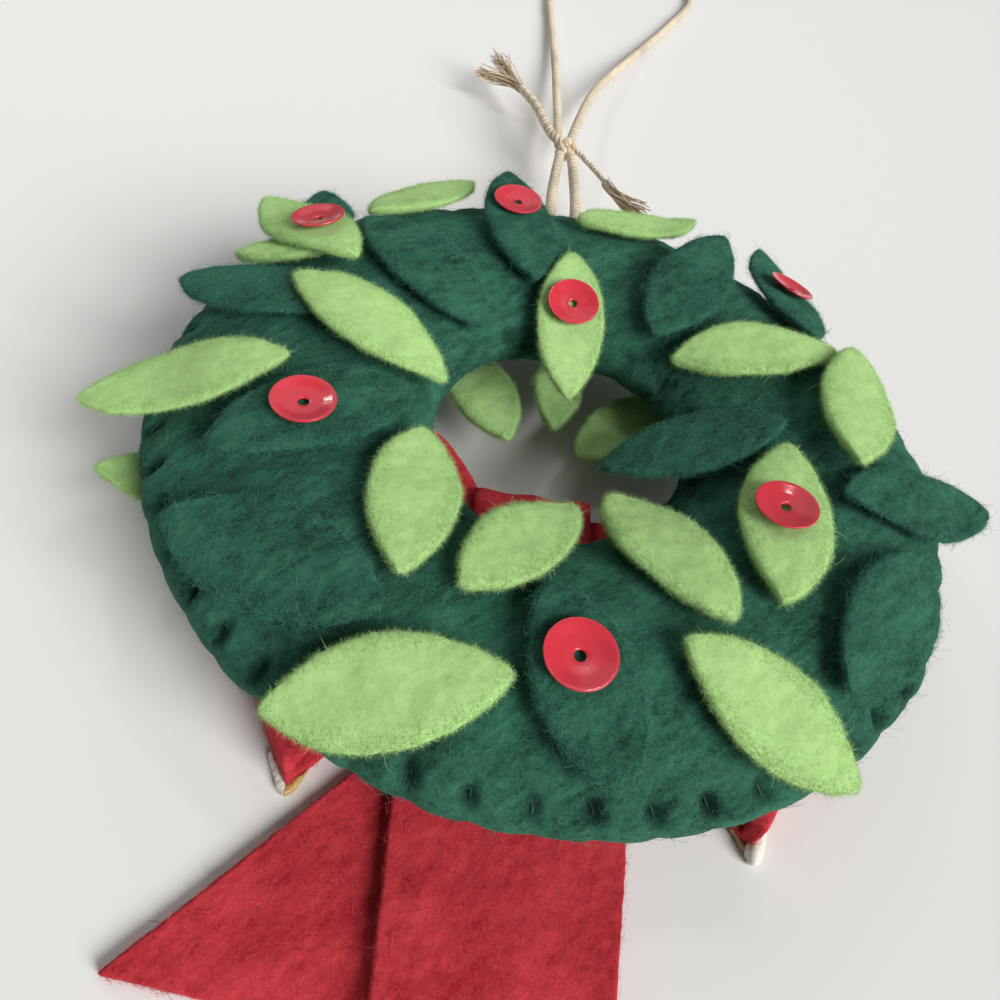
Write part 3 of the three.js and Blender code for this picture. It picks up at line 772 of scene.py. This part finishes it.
class WREATH_OT_hanging_cord(bpy.types.Operator):
    """Twisted cord with its loop, knot and two frayed ends"""

    bl_idname = "wreath.hanging_cord"
    bl_label = "Hanging cord"

    end_strands = 3
    short_end_share = 0.55
    fibre_share = 0.05
    knot_turns = 2.2
    knot_steps = 60
    knot_size = Vector((1.25, 4.4, 1.05)) * MM

    def execute(self, context):
        cord = context.scene.wreath_cord
        yarns = yarn_material("cream_yarn", cord.cream), yarn_material("tan_yarn", cord.tan)
        route = (*LEFT_LEG, LEFT_THROUGH, *CORD_LOOP, RIGHT_THROUGH, *reversed(RIGHT_LEG))
        line = smooth_line([place(*point) for point in route], cord.pitch / 10)
        nodes = "hanger_leg_left", "hanger_leg_right", "hanger_loop"
        loop = self.add_run("hanging_cord", nodes, line, [], cord, yarns, cord.strands)
        pieces = [self.add_knot(cord, yarns)]
        for name, points, tips, share in (
                ("long", LONG_END, LONG_FRAY, 1), ("short", SHORT_END, SHORT_FRAY, self.short_end_share)):
            run = smooth_line([place(*point) for point in points], cord.pitch / 10)
            fibres = [fibre for tip in tips for fibre in frayed(run, place(*tip), cord, f"fray {name} {tip}")]
            nodes = [f"hanger_end_{name}"]
            pieces.append(self.add_run(
                f"cord_end_{name}", nodes, run, fibres, cord, yarns, self.end_strands, share))
        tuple(line[0])
        line_length(line)
        return {"FINISHED"}

    def add_run(self, name, nodes, run, fibres, cord, yarns, strands, share=1.0):
        """Cord twisted of cream and tan strands along a line, with thin loose fibres."""
        bm = bmesh.new()
        lines, radius = twisted(run, cord.diameter * share, strands, cord)
        thin = cord.diameter * self.fibre_share
        for tone, group, thickness, sides in (
                (0, lines[::3] + lines[1::3], radius, 1),
                (1, lines[2::3], radius, 1),
                (0, fibres[::3], thin, 0),
                (1, fibres[1::3] + fibres[2::3], thin, 0)):
            if not group:
                continue
            before = len(bm.faces)
            bm.from_mesh(strand_mesh(name, group, thickness, sides))
            bm.faces.ensure_lookup_table()
            for face in bm.faces[before:]:
                face.material_index = tone
        return add_piece(name, bm, yarns, "hanger", "gold_cord", *nodes)

    def add_knot(self, cord, yarns):
        """Cord wound round itself where the legs and the loop meet."""
        wide, long, high = self.knot_size
        wound = []
        for step in range(self.knot_steps + 1):
            share = step / self.knot_steps
            angle = TURN * self.knot_turns * share
            swell = math.sin(math.pi * (0.12 + 0.76 * share))
            turned = (wide * swell * math.cos(angle), long * (share - 0.5), high * swell * math.sin(angle))
            wound.append(place(*CORD_KNOT) + Vector(turned))
        line = smooth_line(wound, cord.pitch / 10)
        return self.add_run("cord_knot", ["hanger_knot"], line, [], cord, yarns, self.end_strands)


class WREATH_OT_stuffed_ring(bpy.types.Operator):
    """Ring of dark felt, swelled by its stuffing and drawn in by its stitches"""

    bl_idname = "wreath.stuffed_ring"
    bl_label = "Stuffed ring"

    sim_scale = 10
    sim_frames = 20
    sides = 48
    steps_per_stitch = 6
    section_inset = 0.4 * MM
    section_rise = 0.84
    seam_lip = 1.35 * MM
    crown_power = 0.55
    rim_slack = 0.3 * MM
    fill_reach = 7 * MM
    notch_depth = 2.2 * MM
    notch_reach = 9 * MM
    rim_reach = 6 * MM
    held_depth = 1.2 * MM
    held_half_width = 0.5 * MM
    thread_radius = 0.14 * MM
    stitch_lean = math.radians(38)
    half_steps = 4
    core_depth = 4 * MM
    ray_start = 12 * MM
    end_sink = 0.35 * MM
    thread_sink = 0.1 * MM

    def execute(self, context):
        felt = context.scene.wreath_felt
        ring = context.scene.wreath_ring
        bm = self.blank(ring)
        bm = self.swelled(bm, ring)
        self.capped(bm)
        self.filled_out(bm)
        self.opened(bm)
        bm = rounded(bm, 1)
        roughened(bm, ((9 * MM, 0.35 * MM), (2.5 * MM, 0.12 * MM)))
        self.drawn_in(bm, ring)
        surface = BVHTree.FromBMesh(bm)
        pile = pile_on(bm, felt, "ring", ring.fibres, ring.fuzz, nap=RING_NAP)
        wool, fibre = dark_felt(felt)
        body = add_piece("stuffed_ring", bm, [wool], "wreath", "dark_felt",
                         "back_ring", "front_ring", "stuffing")
        add_piece("ring_pile", pile, [fibre], "wreath", "dark_felt")
        thread = thread_material("green_thread", ring.thread)
        for side, radius, count in (
                ("outer", RING_OUTER, ring.outer_stitches), ("inner", RING_INNER, ring.inner_stitches)):
            name = f"{side}_stitches"
            mesh = strand_mesh(name, self.stitches(surface, radius, count), self.thread_radius)
            dressed(new_object(name, mesh, thread), "wreath", "green_thread", f"{side}_seam_thread")
        return {"FINISHED"}

    def blank(self, ring):
        """Lens-shaped section turned about the ring's axis, with its faces in the same order at each run."""
        bm = bmesh.new()
        steps = ring.outer_stitches * self.steps_per_stitch
        half_width = RING_HALF_WIDTH - self.section_inset
        half_height = RING_CROWN * self.section_rise
        rows = []
        for step in range(steps):
            out = Matrix.Rotation(TURN * step / steps, 3, "Z") @ Vector((1, 0, 0))
            row = []
            for side in range(self.sides):
                angle = TURN * side / self.sides
                at = AXIS + out * (RING_MIDDLE + half_width * math.cos(angle))
                row.append(bm.verts.new(at + UP * (SEAM_Z + half_height * math.sin(angle))))
            rows.append(row)
        for row, following in zip(rows, rows[1:] + rows[:1]):
            for side in range(self.sides):
                bm.faces.new((row[side - 1], following[side - 1], following[side], row[side]))
        return bm

    def swelled(self, bm, ring):
        """Felt blown up by its stuffing, held at the stitches."""
        bmesh.ops.scale(bm, vec=(self.sim_scale,) * 3, verts=bm.verts)
        obj = new_object("swelling", mesh_of(bm, "swelling"))
        held = obj.vertex_groups.new(name="stitched")
        held.add(self.stitched(obj.data, ring), 1, "REPLACE")
        cloth = obj.modifiers.new("stuffing", "CLOTH")
        cloth.settings.quality = 6
        cloth.settings.mass = 0.3
        cloth.settings.tension_stiffness = cloth.settings.compression_stiffness = 25
        cloth.settings.shear_stiffness = 10
        cloth.settings.bending_stiffness = 2
        cloth.settings.use_pressure = True
        cloth.settings.uniform_pressure_force = ring.pressure
        cloth.settings.effector_weights.gravity = 0
        cloth.settings.vertex_group_mass = "stitched"
        cloth.point_cache.frame_end = self.sim_frames
        scene = bpy.context.scene
        for step in range(1, self.sim_frames + 1):
            scene.frame_set(step)
        result = applied(obj)
        scene.frame_set(1)
        bmesh.ops.scale(result, vec=(1 / self.sim_scale,) * 3, verts=result.verts)
        return result

    def stitched(self, mesh, ring):
        """Points of both rims that a stitch holds."""
        found = []
        for vert in mesh.vertices:
            _, radius, turn = around(vert.co / self.sim_scale)
            for edge, count in ((RING_OUTER, ring.outer_stitches), (RING_INNER, ring.inner_stitches)):
                near_rim = abs(radius - edge) < self.held_depth
                off_stitch = abs(turn * count - round(turn * count)) * TURN * edge / count
                if near_rim and off_stitch < self.held_half_width:
                    found.append(vert.index)
        return found

    def capped(self, bm):
        """Keeps the felt inside the crown that its leaves lie on."""
        low, high = RING_INNER - self.rim_slack, RING_OUTER + self.rim_slack
        for vert in bm.verts:
            out, radius, _ = around(vert.co)
            offset = min(1, abs(radius - RING_MIDDLE) / RING_HALF_WIDTH)
            limit = self.seam_lip + (RING_CROWN - self.seam_lip) * (1 - offset * offset) ** self.crown_power
            vert.co += out * (max(low, min(high, radius)) - radius)
            vert.co.z = max(SEAM_Z - limit, min(SEAM_Z + limit, vert.co.z))

    def filled_out(self, bm):
        """Lets the stuffing push the felt's outer edge out past the seam."""
        for vert in bm.verts:
            out, radius, _ = around(vert.co)
            near = min(1, max(0, 1 - (RING_OUTER - radius) / self.fill_reach))
            vert.co += out * EDGE_FILL * near * near * (3 - 2 * near)

    def drawn_in(self, bm, ring):
        """Pits where the thread goes in on both faces, with a shallow furrow between them over the edge. Each
        pit's weight is kept on its points for painted shade in the felt.
        """
        # Weight of each stitch pit, kept for the felt's painted shade.
        depth = bm.verts.layers.float.new("pit_with_painted_shade")
        for vert in bm.verts:
            out, radius, turn = around(vert.co)
            rise = vert.co.z - SEAM_Z
            face = math.copysign(1, rise)
            for edge, count, facing, pulled in (
                    (RING_OUTER, ring.outer_stitches, 1, 1), (RING_INNER, ring.inner_stitches, -1, 0.5)):
                if facing * (edge - radius) > self.rim_reach:
                    continue
                slanted = turn * count + STITCH_SLANT * rise / PIT_RISE
                along = (slanted - round(slanted)) * TURN * edge / count
                pit_with_painted_shade = math.exp(-(along / (0.75 * MM)) ** 2 - ((abs(rise) - PIT_RISE) / (0.65 * MM)) ** 2)
                furrow = math.exp(-(along / (0.8 * MM)) ** 2) * (abs(rise) < PIT_RISE)
                pulled *= 0.8 + 0.25 * noise.cell(Vector((round(slanted) * 3.7, facing, face)))
                pull = ring.pit_depth * pulled * max(pit_with_painted_shade, 0.15 * furrow)
                vert.co -= (out * facing * 0.8 + UP * face * 0.6) * pull
                vert[depth] = max(vert[depth], pit_with_painted_shade * pulled)

    def opened(self, bm):
        """Draws the hole's edge back where the bow shows between two leaves."""
        for vert in bm.verts:
            out, radius, _ = around(vert.co)
            near = max(0, 1 - (radius - RING_INNER) / self.notch_reach)
            vert.co += out * self.notch_depth * near * math.exp(-(out.angle(HOLE_NOTCH) / 0.65) ** 2)

    def stitches(self, surface, edge, count):
        """Lines of the overcast thread, one over the edge for each stitch."""
        facing = 1 if edge > RING_MIDDLE else -1
        lines = []
        for stitch in range(count):
            line = []
            for step in range(-self.half_steps, self.half_steps + 1):
                share = step / self.half_steps
                angle = TURN * (stitch - STITCH_SLANT * share) / count
                out = Vector((math.cos(angle), math.sin(angle), 0)) * facing
                lean = self.stitch_lean * share
                ray = out * math.cos(lean) + UP * math.sin(lean)
                core = AXIS + out * facing * (edge - facing * self.core_depth) + UP * SEAM_Z
                hit, normal, _, _ = surface.ray_cast(core + ray * self.ray_start, -ray)
                if hit:
                    at_end = abs(step) == self.half_steps
                    line.append(hit - normal * (self.end_sink if at_end else self.thread_sink))
            if len(line) > 2:
                lines.append(line)
        return lines


class WREATH_OT_leaves(bpy.types.Operator):
    """Dark and pale felt leaves with fuzzy edges"""

    bl_idname = "wreath.leaves"
    bl_label = "Leaves"

    def execute(self, context):
        felt = context.scene.wreath_felt
        for names, slot, materials, fibres, fuzz, edge_share, fullness in (
                (DARK_LEAVES, "dark_felt", dark_felt(felt), 300, 4500, 0.7, 0.11),
                (PALE_LEAVES, "light_felt", pale_felt(felt), 30, 6500, 0.9, 0.05)):
            for name in names:
                bm = solid_copy(name)
                self.filled_out(bm, fullness)
                creased(bm, 0.15, tip=0.15)
                bm = rounded(bm, 3)
                roughened(bm, ((6 * MM, 0.28 * MM), (1.6 * MM, 0.1 * MM), (0.5 * MM, 0.05 * MM)))
                bm = joined(bm, pile_on(bm, felt, name, fibres, fuzz, edge_share))
                add_piece(f"{name}_felt", bm, materials, "wreath", slot, name)
        return {"FINISHED"}

    def filled_out(self, bm, fullness):
        """Makes a leaf's ends blunter and keeps its length."""
        points = [vert.co.copy() for vert in bm.verts]
        start, end = max(combinations(points, 2), key=lambda pair: (pair[1] - pair[0]).length)
        middle, half = (start + end) / 2, (end - start) / 2
        for vert in bm.verts:
            along = (vert.co - middle).dot(half) / half.length_squared
            fuller = along * (1 - fullness * along ** 8) / (1 - fullness)
            vert.co += half * (fuller - along)


class WREATH_OT_sequins(bpy.types.Operator):
    """Cup sequins with soft facets"""

    bl_idname = "wreath.sequins"
    bl_label = "Sequins"

    facet = TURN / 12
    edge_round = 0.1 * MM

    def execute(self, context):
        material = sequin_material(context.scene.wreath_bow.sequin)
        for name in SEQUINS:
            piece = add_piece(f"{name}_cup", self.cup(name), [material], "wreath", "red_sequin", name)
            piece.modifiers.new("flat_facets", "WEIGHTED_NORMAL").weight = 80
        return {"FINISHED"}

    def cup(self, name):
        """Sequin with soft facets, brought to a round edge."""
        bm = solid_copy(name)
        bm.normal_update()
        upper = [face for face in bm.faces if face.normal.z > 0.3]
        axis = sum((face.normal * face.calc_area() for face in upper), Vector()).normalized()
        middle = sum((vert.co for vert in bm.verts), Vector()) / len(bm.verts)
        corner = max((self.outward(vert, middle, axis) for vert in bm.verts), key=lambda out: out.length)
        bmesh.ops.bevel(bm, geom=bm.edges, offset=self.edge_round, segments=2, profile=0.5, affect="EDGES")
        bmesh.ops.subdivide_edges(bm, edges=bm.edges, cuts=2, use_grid_fill=True)
        for vert in bm.verts:
            out = self.outward(vert, middle, axis)
            turn = out.angle(corner) % self.facet - self.facet / 2
            share = out.length / corner.length
            vert.co += out * share * share * (math.cos(turn) / math.cos(self.facet / 2) - 1)
        return bm

    def outward(self, vert, middle, axis):
        at = vert.co - middle
        return at - axis * at.dot(axis)


class WREATH_OT_bow(bpy.types.Operator):
    """Red felt bow: two folded loops, the band round them and two tails"""

    bl_idname = "wreath.bow"
    bl_label = "Bow"

    loop_gather = 1.05
    knot_gather = 0.25 * MM
    knot_extra_width = 3.4 * MM
    knot_shift = 2.2 * MM
    tail_ripple = 0.12 * MM

    def execute(self, context):
        felt = context.scene.wreath_felt
        for side in ("left", "right"):
            self.add_loop(side, felt)
            self.add_tail(side, felt)
        self.add_knot(felt)
        return {"FINISHED"}

    def add_loop(self, side, felt):
        bm = solid_copy(f"bow_{side}_loop")
        creased(bm, 0.5, angle=60)
        bm = rounded(bm, 3)
        roughened(bm, ((8 * MM, 0.25 * MM), (1.6 * MM, 0.1 * MM)))
        loop, fuzz, area = self.add_felt(side, "loop", bm, "wreath", felt, 500, 5000, edge_share=0.4)

    def add_knot(self, felt):
        bm = solid_copy("bow_knot")
        gridded(bm, 1.2 * MM)
        creased(bm, 0.6, angle=60)
        bm = rounded(bm, 1)
        low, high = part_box("bow_knot")
        for vert in bm.verts:
            across = (vert.co.x - low.x) / (high.x - low.x)
            gather = self.knot_gather * math.sin(across * 5 * math.pi)
            vert.co.z += gather * (1 if vert.co.z > high.z / 2 else -1)
            vert.co.x += self.knot_extra_width * across - self.knot_shift
        roughened(bm, ((5 * MM, 0.2 * MM), (1.6 * MM, 0.1 * MM)))
        rested(bm)
        bm = joined(bm, pile_on(bm, felt, "knot", 200, 2500))
        rested(bm)
        add_piece("bow_knot_felt", bm, red_felt(felt), "wreath", "red_felt", "bow_knot")

    def add_tail(self, side, felt):
        bm = solid_copy(f"bow_{side}_tail")
        low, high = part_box(f"bow_{side}_tail")
        gridded(bm, 1.6 * MM)
        creased(bm, 0.75)
        bm = rounded(bm, 2)
        roughened(bm, ((1.6 * MM, 0.08 * MM), (0.5 * MM, 0.05 * MM)))
        on_table = low.z + high.z < 2 * MM
        ripple = self.tail_ripple * (0.4 if on_table else 1)
        for vert in bm.verts:
            vert.co.z += ripple * noise.noise(vert.co.xy.to_3d() / (9 * MM))
        tail, fuzz, area = self.add_felt(side, "tail", bm, f"{side}_tail", felt, 900, 8000, edge_share=0.3)

    def add_felt(self, side, part, bm, body, felt, loose, fuzz, edge_share):
        """Loop or tail above the table, its pile and the area of one of its faces."""
        rested(bm)
        area = sum(face.calc_area() for face in bm.faces) / 2
        pile = pile_on(bm, felt, f"{side} {part}", loose, fuzz, edge_share)
        rested(pile)
        node = f"bow_{side}_{part}"
        wool, fibre = red_felt(felt)
        sheet = add_piece(f"{node}_felt", bm, [wool], body, "red_felt", node)
        return sheet, add_piece(f"{node}_pile", pile, [fibre], body, "red_felt"), area


class WREATH_OT_bow_trims(bpy.types.Operator):
    """White and gold piping on the bow's corners"""

    bl_idname = "wreath.bow_trims"
    bl_label = "Bow trims"

    seat_depth = 0.45 * MM

    def execute(self, context):
        bow = context.scene.wreath_bow
        finishes = {
            "white": thread_material("white_piping", bow.white, 0.9),
            "gold": thread_material("gold_piping", bow.gold, 0.45),
        }
        for side, fluff in (("left", 0.05 * MM), ("right", 0.45 * MM)):
            for colour, material in finishes.items():
                node = f"bow_{side}_{colour}_trim"
                bm = solid_copy(node)
                creased(bm, 0.6, angle=70)
                bm = rounded(bm, 3)
                self.drawn_back(bm, NODES[f"bow_{side}_loop"])
                if colour == "white":
                    self.fluffed(bm, fluff)
                roughened(bm, ((1.4 * MM, 0.12 * MM), (0.4 * MM, 0.08 * MM)))
                add_piece(f"{node}_piping", bm, [material], "wreath", f"{colour}_trim", node)
        return {"FINISHED"}

    def fluffed(self, bm, fluff):
        """Swells the soft white piping and keeps it above the table."""
        bm.normal_update()
        for vert in bm.verts:
            vert.co += vert.normal * fluff
        rested(bm, 0.1 * MM)

    def drawn_back(self, bm, loop):
        """Lays the piping against the loop's edge, a little into the felt."""
        surface = bmesh.new()
        surface.from_mesh(loop.data)
        edge = BVHTree.FromBMesh(surface)
        for vert in bm.verts:
            nearest = edge.find_nearest(vert.co)[0]
            ahead = Vector((vert.co.x - nearest.x, vert.co.y - nearest.y, 0))
            vert.co -= ahead.normalized() * self.seat_depth
        surface.free()


SETTINGS = {
    "wreath_felt": FeltSettings,
    "wreath_ring": RingSettings,
    "wreath_bow": BowSettings,
    "wreath_cord": CordSettings,
    "wreath_stage": StageSettings,
}
STEPS = (
    WREATH_OT_stage,
    WREATH_OT_hanging_cord,
    WREATH_OT_stuffed_ring,
    WREATH_OT_leaves,
    WREATH_OT_sequins,
    WREATH_OT_bow,
    WREATH_OT_bow_trims,
)


class WREATH_PT_panel(bpy.types.Panel):
    """Lists the ornament's settings and pieces"""

    bl_label = "Felt wreath"
    bl_space_type = "VIEW_3D"
    bl_region_type = "UI"
    bl_category = "Wreath"

    def draw(self, context):
        for name, group in SETTINGS.items():
            box = self.layout.box()
            settings = getattr(context.scene, name)
            for prop in group.__annotations__:
                box.prop(settings, prop)
        for step in STEPS:
            self.layout.operator(step.bl_idname)


CLASSES = (*SETTINGS.values(), *STEPS, WREATH_PT_panel)


def register():
    for cls in CLASSES:
        bpy.utils.register_class(cls)
    for name, group in SETTINGS.items():
        setattr(bpy.types.Scene, name, PointerProperty(type=group))


def unregister():
    for name in SETTINGS:
        delattr(bpy.types.Scene, name)
    for cls in reversed(CLASSES):
        bpy.utils.unregister_class(cls)


def main():
    register()
    bpy.ops.wreath.stage()
    bpy.ops.wreath.hanging_cord()
    bpy.ops.wreath.stuffed_ring()
    bpy.ops.wreath.leaves()
    bpy.ops.wreath.sequins()
    bpy.ops.wreath.bow()
    bpy.ops.wreath.bow_trims()


if __name__ == "__main__":
    main()
